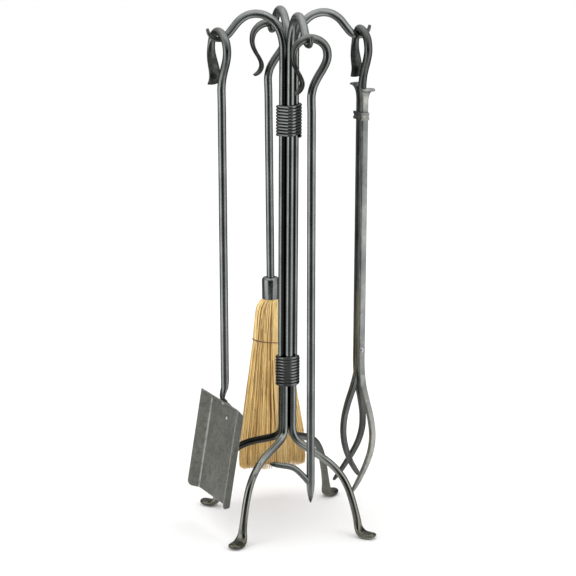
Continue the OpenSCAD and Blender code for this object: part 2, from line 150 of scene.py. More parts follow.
def forged(name, S, n=32, step=6.0, wob=0.10, wob_scale=0.035, matrix=None, floor_z=None, seed=0.0, closed=False, thin=4.9, painted_shade=None, gain=1.0):
    """A forged bar: the sweep of S with the slight unevenness of hammer work."""
    S = refine(np.array(S, float), step)
    R = rings(S, n, None)
    m = len(S)
    centre = S[:, :3]
    if wob:
        for i in range(m):
            small = min(1.0, min(S[i, 6], S[i, 7]) / 4.0)
            for k in range(n):
                d = R[i, k] - centre[i]
                p = Vector(R[i, k] * wob_scale) + Vector((seed, seed * 1.7, -seed))
                w = noise.noise(p) * 0.65 + noise.noise(p * 2.7) * 0.35
                L = np.linalg.norm(d)
                R[i, k] = centre[i] + d * (1 + (w * wob * small - 0.3 * wob * small) / max(L, 0.5))
    if floor_z is not None:
        R[..., 2] = np.maximum(R[..., 2], floor_z)
    V = R.reshape(-1, 3)
    F = tube_faces(m, n)
    drawn = np.clip((np.maximum(S[:, 6], S[:, 7]) / np.minimum(S[:, 6], S[:, 7]) - 1.25) / 0.9, 0.0, 1.0)
    drawn = np.maximum(drawn, np.clip((thin - np.minimum(S[:, 6], S[:, 7])) / 1.6, 0.0, 0.9))
    drawn = drawn * gain
    flat = list(np.repeat(drawn, n))
    if closed:
        a = (m - 1) * n
        F += [(a + k, a + (k + 1) % n, (k + 1) % n, k) for k in range(n)]
    else:
        # domed ends
        for end, order in ((0, -1), (m - 1, 1)):
            c = centre[end]
            t = centre[end] - centre[end - order]
            t = t / np.linalg.norm(t)
            r = min(S[end, 6], S[end, 7])
            last = end * n
            for f, out in ((0.8, 0.12), (0.45, 0.25)):
                ring = c + (R[end] - c) * f + t * r * out
                if floor_z is not None:
                    ring[:, 2] = np.maximum(ring[:, 2], floor_z)
                idx = len(V)
                V = np.vstack([V, ring])
                flat += [drawn[end]] * n
                for k in range(n):
                    k1 = (k + 1) % n
                    q = (last + k, last + k1, idx + k1, idx + k)
                    F.append(q if order > 0 else q[::-1])
                last = idx
            idx = len(V)
            V = np.vstack([V, (c + t * r * 0.3)[None, :]])
            flat.append(drawn[end])
            for k in range(n):
                k1 = (k + 1) % n
                q = (last + k, last + k1, idx)
                F.append(q if order > 0 else q[::-1])
    painted_shade_amount = None
    if painted_shade in ("bundle", "under_pan"):
        # painted shade where the upright bars lie against each other
        r = np.hypot(V[:, 0], V[:, 1])
        painted_shade_amount = np.clip((13.3 - r) / 2.8, 0.0, 1.0) * np.clip((748.0 - V[:, 2]) / 12.0, 0.0, 1.0) * np.clip((V[:, 2] - 150.0) / 12.0, 0.0, 1.0)
        if painted_shade == "under_pan":
            # painted shade on the leg that lies under the pan
            painted_shade_amount = np.maximum(painted_shade_amount, 0.80 * np.clip((r - 13.0) / 8.0, 0.0, 1.0) * np.clip((118.0 - r) / 25.0, 0.0, 1.0) * np.clip((300.0 - V[:, 2]) / 50.0, 0.0, 1.0))
    elif painted_shade == "turns":
        # painted shade in the grooves between the turns of wire
        c = np.vstack([np.repeat(centre, n, 0), np.repeat(centre[[0, -1]], (len(V) - m * n) // 2, 0)])[:len(V)]
        o = c[:, :2] / np.hypot(c[:, 0], c[:, 1])[:, None]
        w = ((V - c)[:, :2] * o).sum(1) / (WIRE / 2)
        painted_shade_amount = np.clip((0.94 - w) / 0.55, 0.0, 1.0)
    V = V * MM
    if matrix is not None:
        M = np.array(matrix, float).copy()
        M[:3, 3] *= MM
        V = V @ M[:3, :3].T + M[:3, 3]
    ob = new_mesh(name, V, F)
    if painted_shade_amount is not None:
        so_ = ob.data.attributes.new("painted_shade", "FLOAT", "POINT")
        so_.data.foreach_set("value", np.array(painted_shade_amount, np.float32))
    at_ = ob.data.attributes.new("flat", "FLOAT", "POINT")
    at_.data.foreach_set("value", np.array(flat, np.float32))
    return ob


# ---------------------------------------------------------------- stations, as in the CAD
HOOK_REACH, HOOK_Z, HOOK_R = 111.0, 769.2, 4.1
BUNDLE = 9.15
LEG_TURN = 45.0
WIRE = 4.7
UP_Z, UP_T, LO_Z, LO_T = 619.0, 10.25, 226.3, 9.75
HANG_Z = HOOK_Z + HOOK_R + 0.5 + ROD
ARM = [[BUNDLE, 720, ROD], [BUNDLE, 745, ROD], [9.9, 760, ROD], [12.6, 773, ROD], [18, 785.5, ROD],
       [26.5, 795.8, ROD], [38, 803.3, ROD], [52.5, 806.2, ROD], [66.5, 803.6, ROD],
       [78.5, 795.8, ROD], [88, 784.8, ROD * 0.99], [95.8, 775.7, ROD * 0.96], [103, 770.8, 5.5],
       [HOOK_REACH, HOOK_Z, HOOK_R], [117.2, 770.9, 3.7], [122.1, 774.5, 3.2], [125.3, 779.7, 2.8], [126.8, 785.2, 2.3]]
LEG = [[BUNDLE, 168, ROD, ROD, 2, 0], [BUNDLE + 0.3, 154, ROD, ROD, 2, 0.1], [12.3, 143.5, 6.2, 6.3, 2, 0.25], [20, 134.8, 6.1, 6.2, 2, 0.5],
       [33, 128, 6, 6.1, 2, 0.7], [50, 121.3, 5.9, 6, 2, 0.85], [67.5, 114, 5.8, 5.9, 2, 0.95], [84, 105, 5.8, 5.8, 2, 1],
       [98.5, 92.8, 5.7, 5.8, 2, 1], [110, 77, 5.7, 5.8, 2, 0.9], [118.3, 58.5, 5.7, 5.8, 2, 0.7], [124.8, 39.5, 5.8, 5.9, 2, 0.4],
       [129, 24.5, 5.9, 6.6, 2.1, 0.15], [131, 15.5, 5.6, 8, 2.3, 0], [134.4, 8.6, 5, 9.8, 2.6, 0], [140.3, 4.4, 4.7, 10.8, 2.9, 0],
       [148.5, 3.9, 4.3, 11, 3, 0], [154, 4.3, 4, 10.2, 2.8, 0], [158, 5.2, 3.6, 8.4, 2.4, 0], [160.4, 6.2, 2.4, 5.6, 2, 0]]
LOWER_TOP = LO_Z + LO_T * (WIRE + 0.05) + WIRE / 2


def eased(t):
    return 0.0 if t < 0 else 1.0 if t > 1 else t * t * (3 - 2 * t)


def turn_at(z):
    return LEG_TURN * eased((LOWER_TOP - z) / (LOWER_TOP - LO_Z + WIRE / 2))


def at(r, phi, z, a, b, e):
    f = math.radians(phi)
    return [r * math.cos(f), r * math.sin(f), z, -math.sin(f), math.cos(f), 0, a, b, e]


def rod_stations(phi, lift, skew):
    S = [at(s[0], phi, s[1], s[2], s[2], 2) for s in smooth(ARM, 6)[::-1]]
    for i in range(29):
        z = LOWER_TOP + 4 - i * (LOWER_TOP - LO_Z + 10) / 28
        S.append(at(BUNDLE, phi + turn_at(z), z, ROD, ROD, 2))
    leg = [[s[0] + 0.25 * lift * s[5], s[1] + lift * s[5], s[2], s[3], s[4]] for s in LEG]
    for s in smooth(leg, 6):
        S.append(at(s[0], phi + LEG_TURN + skew * eased((s[0] - BUNDLE - 2) / 60), s[1], s[2], s[3], s[4]))
    return S


def upper_coil(per=72):
    """Wire round the four upright rods: a rounded square that climbs."""
    S = []
    rr = ROD + WIRE / 2 - 0.02
    q = per // 4
    for i in range(int(round(UP_T * per)) + 1):
        k, j = (i // q) % 4, i % q
        al, c = math.radians(90 * k - 45 + 90 * j / q), math.radians(90 * k)
        S.append([BUNDLE * math.cos(c) + rr * math.cos(al), BUNDLE * math.sin(c) + rr * math.sin(al), UP_Z + i / per * (WIRE + 0.05), 0, 0, 1, WIRE / 2, WIRE / 2, 2])
    return S


def lower_coil(per=72):
    """Wire drawn down round over the turn of the rods."""
    S = []
    rr = BUNDLE + ROD + WIRE / 2 - 1.1
    for i in range(int(round(LO_T * per)) + 1):
        al = math.radians(60 + 360 * i / per)
        S.append([rr * math.cos(al), rr * math.sin(al), LO_Z + i / per * (WIRE + 0.05), 0, 0, 1, WIRE / 2, WIRE / 2, 2])
    return S


GRIP = [[4, 3.5, -110, ROD, ROD, 2, 1, 0], [3.6, 3.5, -96, ROD, ROD, 2, 1, 0], [3.8, 3.5, -84, ROD, ROD, 2, 1, 0], [6.8, 3.4, -71, ROD, ROD, 2, 0.9, 0],
        [13.4, 3.1, -57.5, ROD, ROD, 2, 0.6, 0], [20.7, 2.6, -45.5, ROD, ROD, 2, 0.3, 0], [26, 2, -34.2, ROD, ROD, 2, 0.1, 0],
        [27.2, 1.4, -24, ROD, ROD, 2, 0, 0], [24, 0.9, -12.8, ROD, ROD, 2, 0, 0], [14.2, 0.4, -3.8, ROD, ROD, 2, 0, 0],
        [0, 0, 0, ROD, ROD, 2, 0, 0], [-14, -0.3, -3.6, 6, 6.1, 2, 0, 0], [-23.8, -0.6, -13, 5.1, 5.9, 2, 0, 0],
        [-27.3, -0.9, -24.5, 4.1, 6.2, 2, 0, 0], [-26.3, -1.2, -35.2, 3.4, 7.2, 2.1, 0, 0.2], [-22, -1.4, -45.2, 2.9, 8.4, 2.2, 0, 0.4],
        [-16.6, -1.5, -54.4, 2.8, 9, 2.3, 0, 0.6], [-13.3, -1.5, -62.4, 3, 9.2, 2.3, 0, 0.8], [-13.2, -1.5, -69, 3.1, 9, 2.3, 0, 1],
        [-16.2, -1.5, -75, 2.9, 8.8, 2.4, 0, 1], [-20.6, -1.5, -79, 2.4, 8.4, 2.4, 0, 1], [-25, -1.5, -81, 1.6, 7.4, 2.2, 0, 1]]


def handle(dx=0, dy=0, tail=0, k=1, w=1):
    return [list(s) for s in smooth([[g[0] * (k if g[0] < 0 else 1) + dx * g[6], g[1] + dy * g[6], g[2] + tail * g[7],
                                      g[3], g[4] * (1 - (1 - w) * g[7]), g[5]] for g in GRIP], 6)]


POKER = place((1.2, -HOOK_REACH, HANG_Z + 0.1), 0, -0.3)
BRUSH = place((-3.5, HOOK_REACH, HANG_Z + 0.4), 0, -0.85)
SHOVEL = place((-HOOK_REACH + 1, 0, HANG_Z + 0.6), -78.6, -0.55)
TONGS = place((HOOK_REACH + 0.3, 0, HANG_Z), -82, 0)


def low(z):
    return z - HANG_Z


# ---------------------------------------------------------------- materials
def node(nt, kind, **inputs):
    n = nt.nodes.new(kind)
    for k, v in inputs.items():
        k = k.replace("_", " ")
        n.inputs[k].default_value = v
    return n


def ramp(nt, src, stops):
    n = nt.nodes.new("ShaderNodeValToRGB")
    els = n.color_ramp.elements
    while len(els) > 1:
        els.remove(els[-1])
    els[0].position, els[0].color = stops[0][0], (*stops[0][1], 1)
    for p, c in stops[1:]:
        e = els.new(p)
        e.color = (*c, 1)
    nt.links.new(src, n.inputs["Fac"])
    return n.outputs["Color"]


def noise_tex(nt, vec, scale, detail=4.0, rough=0.55, distort=0.0):
    n = nt.nodes.new("ShaderNodeTexNoise")
    n.inputs["Scale"].default_value = scale
    n.inputs["Detail"].default_value = detail
    n.inputs["Roughness"].default_value = rough
    n.inputs["Distortion"].default_value = distort
    nt.links.new(vec, n.inputs["Vector"])
    return n.outputs["Fac"]


def stretch(nt, vec, sx, sy, sz):
    n = nt.nodes.new("ShaderNodeMapping")
    n.inputs["Scale"].default_value = (sx, sy, sz)
    nt.links.new(vec, n.inputs["Vector"])
    return n.outputs["Vector"]


def mix(nt, fac, a, b, mode="MIX"):
    n = nt.nodes.new("ShaderNodeMix")
    n.data_type = "RGBA"
    n.blend_type = mode
    for sock, val in ((n.inputs["Factor"], fac), (n.inputs["A"], a), (n.inputs["B"], b)):
        if isinstance(val, (float, int)):
            sock.default_value = val
        elif isinstance(val, tuple):
            sock.default_value = (*val, 1)
        else:
            nt.links.new(val, sock)
    return n.outputs["Result"]


def maprange(nt, src, a, b, lo, hi):
    n = nt.nodes.new("ShaderNodeMapRange")
    n.inputs["From Min"].default_value = a
    n.inputs["From Max"].default_value = b
    n.inputs["To Min"].default_value = lo
    n.inputs["To Max"].default_value = hi
    nt.links.new(src, n.inputs["Value"])
    return n.outputs["Result"]


def start(name):
    m = bpy.data.materials.new(name)
    m.use_nodes = True
    nt = m.node_tree
    bsdf = nt.nodes["Principled BSDF"]
    co = nt.nodes.new("ShaderNodeTexCoord").outputs["Object"]
    return m, nt, bsdf, co


def bump(nt, height, strength, distance, under=None):
    n = nt.nodes.new("ShaderNodeBump")
    n.inputs["Strength"].default_value = strength
    n.inputs["Distance"].default_value = distance
    nt.links.new(height, n.inputs["Height"])
    if under is not None:
        nt.links.new(under, n.inputs["Normal"])
    return n.outputs["Normal"]


def edge_mask(nt, radius):
    """1 on convex and concave edges within about radius, by comparing the rounded normal with the real one."""
    bev = nt.nodes.new("ShaderNodeBevel")
    bev.samples = 6
    bev.inputs["Radius"].default_value = radius
    geo = nt.nodes.new("ShaderNodeNewGeometry")
    dot = nt.nodes.new("ShaderNodeVectorMath")
    dot.operation = "DOT_PRODUCT"
    nt.links.new(bev.outputs["Normal"], dot.inputs[0])
    nt.links.new(geo.outputs["Normal"], dot.inputs[1])
    return maprange(nt, dot.outputs["Value"], 0.995, 0.80, 0.0, 1.0)


def forged_iron(name, dark, mid, light, rough=(0.20, 0.29), metallic=1.0, wear=0.0, seed=0.0, relief=1.0, scale_dark=(0.50, 0.49, 0.455), earth=0.0, rubbed_and_highlit=False, loop_darkening=0.0):
    """Blackened bar with a pewter rub: darker scale on the drawn-out flats, painted shade in the hollows, lighter where
    hands and files polished it.
    """
    m, nt, bsdf, co = start(name)
    shift = nt.nodes.new("ShaderNodeVectorMath")
    shift.operation = "ADD"
    shift.inputs[1].default_value = (seed, seed * 0.37, -seed * 0.61)
    nt.links.new(co, shift.inputs[0])
    v = shift.outputs["Vector"]
    big = noise_tex(nt, v, 22.0, 3.0, 0.5, 0.3)
    fine = noise_tex(nt, v, 420.0, 3.0, 0.5)
    drawn = noise_tex(nt, stretch(nt, v, 300.0, 300.0, 24.0), 1.0, 3.0, 0.6)
    base = ramp(nt, big, [(0.30, dark), (0.5, mid), (0.74, light)])
    grain = ramp(nt, fine, [(0.32, (0.90, 0.905, 0.90)), (0.5, (1.0, 1.0, 1.0)), (0.72, (1.07, 1.07, 1.065))])
    col = mix(nt, 1.0, base, grain, "MULTIPLY")
    streak = ramp(nt, drawn, [(0.3, (0.92, 0.92, 0.92)), (0.7, (1.06, 1.06, 1.06))])
    col = mix(nt, 1.0, col, streak, "MULTIPLY")
    # drawn-out flats keep their dark, rougher hammer scale
    att = nt.nodes.new("ShaderNodeAttribute")
    att.attribute_name = "flat"
    scaled = nt.nodes.new("ShaderNodeMath")
    scaled.operation = "MULTIPLY"
    nt.links.new(att.outputs["Fac"], scaled.inputs[0])
    nt.links.new(maprange(nt, noise_tex(nt, v, 110.0, 4.0, 0.65, 0.5), 0.34, 0.6, 0.62, 1.0), scaled.inputs[1])
    col = mix(nt, scaled.outputs[0], col, scale_dark, "MULTIPLY")
    # painted shade read from the attribute: darker between the upright bars, on the leg under the pan and in the
    # grooves of the wire turns
    shade_attr = nt.nodes.new("ShaderNodeAttribute")
    shade_attr.attribute_name = "painted_shade"
    col = mix(nt, shade_attr.outputs["Fac"], col, (0.04, 0.04, 0.04), "MULTIPLY")
    if loop_darkening:
        # the loops and tops of the tools darker from 0.69 m upward, set by height alone
        sep = nt.nodes.new("ShaderNodeSeparateXYZ")
        nt.links.new(co, sep.inputs[0])
        loop_dark = nt.nodes.new("ShaderNodeMath")
        loop_dark.operation = "MULTIPLY"
        nt.links.new(maprange(nt, sep.outputs["Z"], 0.690, 0.735, 0.0, loop_darkening), loop_dark.inputs[0])
        nt.links.new(maprange(nt, noise_tex(nt, v, 60.0, 4.0, 0.6, 0.6), 0.34, 0.6, 0.55, 1.0), loop_dark.inputs[1])
        col = mix(nt, loop_dark.outputs[0], col, (0.56, 0.555, 0.54), "MULTIPLY")
    if earth:
        sep = nt.nodes.new("ShaderNodeSeparateXYZ")
        nt.links.new(co, sep.inputs[0])
        low_ = nt.nodes.new("ShaderNodeMath")
        low_.operation = "MULTIPLY"
        nt.links.new(maprange(nt, sep.outputs["Z"], 0.20, 0.01, 0.0, earth), low_.inputs[0])
        nt.links.new(maprange(nt, noise_tex(nt, v, 70.0, 4.0, 0.6, 0.8), 0.35, 0.6, 0.35, 1.0), low_.inputs[1])
        col = mix(nt, low_.outputs[0], col, (0.86, 0.78, 0.64), "MULTIPLY")
    if rubbed_and_highlit:
        # rubbed bright below the flared lip, on the lip and down the prong; on the collar and lip the lighter colour is
        # also a painted highlight
        sep = nt.nodes.new("ShaderNodeSeparateXYZ")
        nt.links.new(co, sep.inputs[0])
        for lo, mid_, hi, top, tone in ((0.640, 0.647, 0.6535, 0.60, (0.74, 0.70, 0.61)), (0.654, 0.668, 0.686, 0.85, (0.80, 0.77, 0.69)), (0.03, 0.10, 0.25, 0.70, (0.64, 0.62, 0.55))):
            up = maprange(nt, sep.outputs["Z"], lo, mid_, 0.0, 1.0)
            dn = maprange(nt, sep.outputs["Z"], hi, mid_, 0.0, 1.0)
            m1 = nt.nodes.new("ShaderNodeMath")
            m1.operation = "MULTIPLY"
            nt.links.new(up, m1.inputs[0])
            nt.links.new(dn, m1.inputs[1])
            m2 = nt.nodes.new("ShaderNodeMath")
            m2.operation = "MULTIPLY"
            nt.links.new(m1.outputs[0], m2.inputs[0])
            nt.links.new(maprange(nt, noise_tex(nt, v, 75.0, 3.0, 0.6, 0.4), 0.36, 0.58, 0.15, top), m2.inputs[1])
            col = mix(nt, m2.outputs[0], col, tone)
    if wear:
        spots = noise_tex(nt, v, 46.0, 4.0, 0.6, 0.6)
        mask = maprange(nt, spots, 0.55, 0.68, 0.0, wear)
        col = mix(nt, mask, col, (0.60, 0.60, 0.56))
    nt.links.new(col, bsdf.inputs["Base Color"])
    bsdf.inputs["Metallic"].default_value = metallic
    rr = nt.nodes.new("ShaderNodeMath")
    rr.operation = "MULTIPLY_ADD"
    nt.links.new(scaled.outputs[0], rr.inputs[0])
    rr.inputs[1].default_value = 0.10
    nt.links.new(maprange(nt, drawn, 0.3, 0.7, rough[0], rough[1]), rr.inputs[2])
    nt.links.new(rr.outputs[0], bsdf.inputs["Roughness"])
    n1 = bump(nt, noise_tex(nt, v, 45.0, 2.0, 0.5, 0.3), 0.14 * relief, 0.0005)
    # hammer marks on the flats only
    marks = nt.nodes.new("ShaderNodeMath")
    marks.operation = "MULTIPLY"
    nt.links.new(noise_tex(nt, v, 170.0, 3.0, 0.6, 0.6), marks.inputs[0])
    nt.links.new(att.outputs["Fac"], marks.inputs[1])
    n3 = bump(nt, marks.outputs[0], 0.55, 0.0012, n1)
    n2 = bump(nt, fine, 0.012 * relief, 0.0001, n3)
    nt.links.new(n2, bsdf.inputs["Normal"])
    return m


def sheet_iron(name, to_pan):
    """Mottled rolled sheet with edges and folds painted bright as a highlight, painted shade on the rims and round the
    rivet; to_pan carries the mesh's own space into the pan's frame.
    """
    m, nt, bsdf, co = start(name)

    def axis(k):
        dot = nt.nodes.new("ShaderNodeVectorMath")
        dot.operation = "DOT_PRODUCT"
        nt.links.new(co, dot.inputs[0])
        dot.inputs[1].default_value = to_pan[k][:3]
        add = nt.nodes.new("ShaderNodeMath")
        add.inputs[1].default_value = to_pan[k][3]
        nt.links.new(dot.outputs["Value"], add.inputs[0])
        return add.outputs[0]

    def calc(op, a, b=None):
        c = nt.nodes.new("ShaderNodeMath")
        c.operation = op
        for i, x in enumerate((a, b)):
            if x is None:
                continue
            if isinstance(x, (int, float)):
                c.inputs[i].default_value = x
            else:
                nt.links.new(x, c.inputs[i])
        return c.outputs[0]

    across, along = axis(0), axis(2)
    cloud = noise_tex(nt, co, 34.0, 5.0, 0.6, 0.5)
    fine = noise_tex(nt, co, 330.0, 5.0, 0.65)
    spots = noise_tex(nt, co, 120.0, 3.0, 0.6, 0.3)
    base = ramp(nt, cloud, [(0.28, (0.118, 0.122, 0.106)), (0.5, (0.142, 0.145, 0.127)), (0.75, (0.170, 0.173, 0.152))])
    col = mix(nt, 1.0, base, ramp(nt, fine, [(0.3, (0.70, 0.70, 0.70)), (0.5, (1, 1, 1)), (0.72, (1.3, 1.3, 1.28))]), "MULTIPLY")
    col = mix(nt, 0.8, col, ramp(nt, spots, [(0.34, (0.72, 0.72, 0.70)), (0.55, (1.05, 1.05, 1.05))]), "MULTIPLY")
    # painted highlight along the folds, the rims beyond them a little darker as painted shade, and a painted shadow
    # round the rivet
    off = calc("SUBTRACT", calc("ABSOLUTE", across), 0.056)
    col = mix(nt, maprange(nt, off, 0.0006, 0.0030, 0.0, 0.28), col, (0.70, 0.71, 0.70), "MULTIPLY")
    fold_highlight = maprange(nt, calc("ABSOLUTE", off), 0.0013, 0.0004, 0.0, 1.0)
    fold_highlight = calc("MULTIPLY", fold_highlight, maprange(nt, spots, 0.34, 0.52, 0.35, 0.85))
    col = mix(nt, fold_highlight, col, (0.42, 0.43, 0.40))
    # painted shadow round the rivet head, darkest close to it
    ring = calc("POWER", calc("ADD", calc("POWER", calc("ADD", across, 0.003), 2.0), calc("POWER", calc("ADD", along, 0.017), 2.0)), 0.5)
    col = mix(nt, maprange(nt, ring, 0.0058, 0.0040, 0.0, 0.75), col, (0.25, 0.25, 0.24), "MULTIPLY")
    # painted highlight along every edge of the sheet
    edge = edge_mask(nt, 0.0016)
    em = nt.nodes.new("ShaderNodeMath")
    em.operation = "MULTIPLY"
    nt.links.new(edge, em.inputs[0])
    nt.links.new(maprange(nt, fine, 0.35, 0.6, 0.45, 1.0), em.inputs[1])
    col = mix(nt, em.outputs[0], col, (0.56, 0.57, 0.54))
    nt.links.new(col, bsdf.inputs["Base Color"])
    bsdf.inputs["Metallic"].default_value = 0.22
    nt.links.new(maprange(nt, fine, 0.3, 0.7, 0.46, 0.62), bsdf.inputs["Roughness"])
    n1 = bump(nt, cloud, 0.4, 0.0008)
    n2 = bump(nt, fine, 0.4, 0.00025, n1)
    nt.links.new(n2, bsdf.inputs["Normal"])
    return m


def plain_metal(name, dark, light, rough, metallic=1.0, scale=180.0, edge=None, grain=(0.8, 1.15)):
    m, nt, bsdf, co = start(name)
    a = noise_tex(nt, co, scale, 4.0, 0.6)
    b = noise_tex(nt, co, scale * 4, 3.0, 0.6)
    col = ramp(nt, a, [(0.3, dark), (0.7, light)])
    col = mix(nt, 1.0, col, ramp(nt, b, [(0.3, (grain[0],) * 3), (0.7, (grain[1],) * 3)]), "MULTIPLY")
    # edges painted lighter: a painted highlight
    if edge:
        col = mix(nt, edge_mask(nt, 0.0008), col, edge)
    nt.links.new(col, bsdf.inputs["Base Color"])
    bsdf.inputs["Metallic"].default_value = metallic
    nt.links.new(maprange(nt, b, 0.3, 0.7, rough[0], rough[1]), bsdf.inputs["Roughness"])
    nt.links.new(bump(nt, b, 0.3 * (1.0 - grain[0]) / 0.2, 0.0002), bsdf.inputs["Normal"])
    return m


def straw_material():
    """Broomcorn: each straw its own tone, darker strips, pale tips."""
    m, nt, bsdf, co = start("straw")
    att = nt.nodes.new("ShaderNodeAttribute")
    att.attribute_name = "tone"
    tone = att.outputs["Fac"]
    along = noise_tex(nt, stretch(nt, co, 260.0, 260.0, 26.0), 1.0, 4.0, 0.6)
    fine = noise_tex(nt, stretch(nt, co, 1400.0, 1400.0, 90.0), 1.0, 3.0, 0.6)
    base = ramp(nt, tone, [(0.0, (0.24, 0.105, 0.034)), (0.16, (0.54, 0.31, 0.098)), (0.42, (0.82, 0.55, 0.195)),
                           (0.72, (0.93, 0.69, 0.30)), (1.0, (0.96, 0.80, 0.44))])
    col = mix(nt, 0.75, base, ramp(nt, along, [(0.28, (0.66, 0.56, 0.43)), (0.5, (1.04, 1.03, 1.02)), (0.74, (1.28, 1.24, 1.12))]), "MULTIPLY")
    col = mix(nt, 0.6, col, ramp(nt, fine, [(0.3, (0.84, 0.81, 0.75)), (0.7, (1.17, 1.17, 1.15))]), "MULTIPLY")
    nt.links.new(col, bsdf.inputs["Base Color"])
    nt.links.new(maprange(nt, fine, 0.3, 0.7, 0.45, 0.72), bsdf.inputs["Roughness"])
    bsdf.inputs["Specular IOR Level"].default_value = 0.35
    nt.links.new(bump(nt, fine, 0.4, 0.0002), bsdf.inputs["Normal"])
    return m


def twine_material():
    m, nt, bsdf, co = start("twine")
    f = noise_tex(nt, co, 900.0, 3.0, 0.6)
    nt.links.new(ramp(nt, f, [(0.3, (0.13, 0.075, 0.035)), (0.7, (0.34, 0.21, 0.10))]), bsdf.inputs["Base Color"])
    nt.links.new(maprange(nt, f, 0.3, 0.7, 0.6, 0.8), bsdf.inputs["Roughness"])
    nt.links.new(bump(nt, f, 0.5, 0.0003), bsdf.inputs["Normal"])
    return m


IRON = dict(dark=(0.25, 0.268, 0.258), mid=(0.32, 0.342, 0.330), light=(0.39, 0.414, 0.400))
mat_stand = forged_iron("stand_iron", seed=0.0, rough=(0.12, 0.19), earth=1.0, **IRON)
TAIL = dict(scale_dark=(0.24, 0.24, 0.22), loop_darkening=0.85)
mat_poker = forged_iron("poker_iron", seed=3.1, **TAIL, **IRON)
mat_shovel = forged_iron("shovel_iron", seed=5.3, **TAIL, **IRON)
mat_brush = forged_iron("brush_iron", seed=7.7, **TAIL, **IRON)
# the tongs' iron in two copies: a darker one for the centre bar and back arm, painted shade, and a lighter one with
# worn spots for the front arm and collar, painted light
mat_tongs = forged_iron("tongs_iron", (0.12, 0.128, 0.122), (0.19, 0.203, 0.196), (0.26, 0.277, 0.268), seed=9.2, rough=(0.24, 0.34), scale_dark=(0.30, 0.295, 0.28), loop_darkening=0.35)
mat_tongs_light = forged_iron("tongs_lit_and_worn_iron", (0.22, 0.234, 0.226), (0.31, 0.33, 0.318), (0.44, 0.46, 0.44), rough=(0.26, 0.38), wear=0.6, seed=11.4, scale_dark=(1.0, 1.0, 1.0), rubbed_and_highlit=True)
mat_coil = forged_iron("binding_wire_iron", (0.165, 0.175, 0.169), (0.235, 0.249, 0.241), (0.31, 0.328, 0.318), seed=2.2, rough=(0.10, 0.17))
mat_rivet = plain_metal("rivet_steel", (0.55, 0.55, 0.54), (0.80, 0.80, 0.78), (0.25, 0.38))
# the ferrule's edges painted light as a highlight
mat_ferrule = plain_metal("ferrule_iron", (0.26, 0.277, 0.280), (0.36, 0.382, 0.385), (0.13, 0.20), 1.0, 60.0, (0.40, 0.41, 0.40), (0.95, 1.04))
mat_wire = plain_metal("inner_wire_steel", (0.35, 0.35, 0.33), (0.6, 0.6, 0.57), (0.3, 0.4))
mat_straw = straw_material()
mat_twine = twine_material()


def dress(obj, mat):
    obj.data.materials.clear()
    obj.data.materials.append(mat)
    return obj


def piece(obj, mat, body, slot, *nodes):
    dress(obj, mat)
    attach(obj, body)
    if nodes:
        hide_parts(*nodes)
    return obj


# ---------------------------------------------------------------- stand
for k, (side, phi, lift, skew) in enumerate((("left", 180, 8, -1.4), ("right", 0, 6, 0.4), ("front", 270, 1, -1.6), ("rear", 90, 6, -0.4))):
    # painted shade where the bars lie against each other, and on the rear bar's leg under the pan
    ob = forged("stand_bar_" + side, rod_stations(phi, lift, skew), n=32, step=6.0, wob=0.12, floor_z=0.0, seed=13.0 * k + 1, painted_shade="under_pan" if side == "rear" else "bundle")
    piece(ob, mat_stand, "stand", "forged_stand", "stand_rod_" + side)
for label, S in (("upper", upper_coil()), ("lower", lower_coil())):
    # painted shade in the grooves between the turns of the binding wire
    ob = forged(label + "_binding", S, n=16, step=50, wob=0.02, seed=4.0, thin=0.0, painted_shade="turns")
    piece(ob, mat_coil, "stand", "binding_wire", label + "_coil_wrap")

# ---------------------------------------------------------------- poker
tip = 65.5 - HANG_Z
st = [[4, 3.5, tip, 0.6, 0.6, 2], [4, 3.5, tip + 2.5, 1.9, 1.9, 2], [4, 3.5, tip + 9, 3.8, 3.8, 2], [4, 3.5, tip + 19, 5.7, 5.7, 2], [4, 3.5, tip + 28, ROD, ROD, 2]]
ob = forged("poker_bar", tool(st + handle(k=0.93)), wob=0.12, matrix=POKER, seed=21.0)
piece(ob, mat_poker, "poker", "poker_iron", "poker_shaft")
barb = [[3, 97, 5.2], [-2, 102.5, 5], [-8, 109.5, 4.7], [-14.5, 116.5, 4.6], [-21, 122.2, 4.6],
        [-29, 126, 4.6], [-38, 128.2, 4.5], [-47, 130.2, 4.2], [-55, 132.2, 3.4], [-60.5, 133.6, 1.6]]
ob = forged("poker_hook", tool([[s[0], 3.5, s[1] - HANG_Z, s[2], s[2], 2] for s in smooth(barb, 6)]), n=24, wob=0.12, matrix=POKER, seed=25.0)
piece(ob, mat_poker, "poker", "poker_iron", "poker_barb")

# ---------------------------------------------------------------- brush
brush_x = -1.0
ferrule_top = 372.5 - HANG_Z
ob = forged("brush_bar", tool([[brush_x, 3.5, ferrule_top - 12, ROD, ROD, 2], [brush_x, 3.5, ferrule_top + 3, ROD, ROD, 2]] + handle(brush_x - 4)), wob=0.12, matrix=BRUSH, seed=31.0)
piece(ob, mat_brush, "brush", "brush_iron", "brush_shaft")

